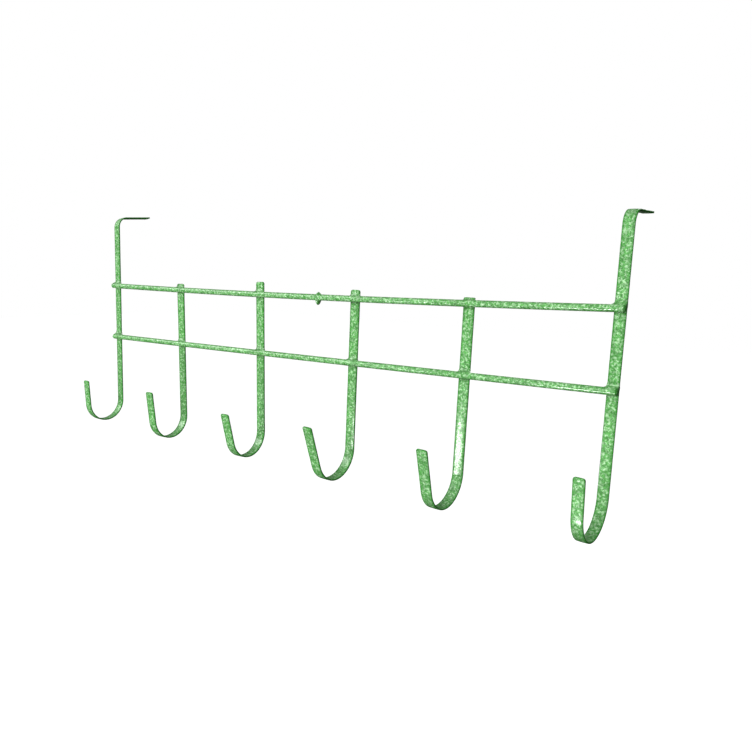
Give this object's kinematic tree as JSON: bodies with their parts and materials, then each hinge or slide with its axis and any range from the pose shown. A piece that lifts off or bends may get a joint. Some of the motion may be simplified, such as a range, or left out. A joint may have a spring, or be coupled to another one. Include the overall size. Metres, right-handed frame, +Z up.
{
  "type": "over-door hook rack",
  "caption": "Over-the-door rack of flat steel straps bent into J hooks and joined by welded round rods, in green hammertone paint.",
  "frame": {"origin": "middle of the rack, where the door's front face meets its top edge: the back of the straps and the underside of the arms where their bends begin", "axes": "+X along the rack to the viewer's right, +Y into the door, +Z up"},
  "size_m": [0.5106, 0.0921, 0.2124],
  "materials": {
    "enamel": "gloss green hammertone enamel over steel",
    "weld_enamel": "the same enamel, thicker and darker over the weld beads"
  },
  "bodies": {
    "root": {"left_over_door_strap": "enamel", "inner_hook_1": "enamel", "inner_hook_2": "enamel", "inner_hook_3": "enamel", "inner_hook_4": "enamel", "right_over_door_strap": "enamel", "upper_rod": "enamel", "lower_rod": "enamel", "upper_weld_1": "weld_enamel", "upper_weld_2": "weld_enamel", "upper_weld_3": "weld_enamel", "upper_weld_4": "weld_enamel", "upper_weld_5": "weld_enamel", "upper_weld_6": "weld_enamel", "lower_weld_1": "weld_enamel", "lower_weld_2": "weld_enamel", "lower_weld_3": "weld_enamel", "lower_weld_4": "weld_enamel", "lower_weld_5": "weld_enamel", "lower_weld_6": "weld_enamel", "rod_joint_burr": "weld_enamel"}
  },
  "joints": []
}
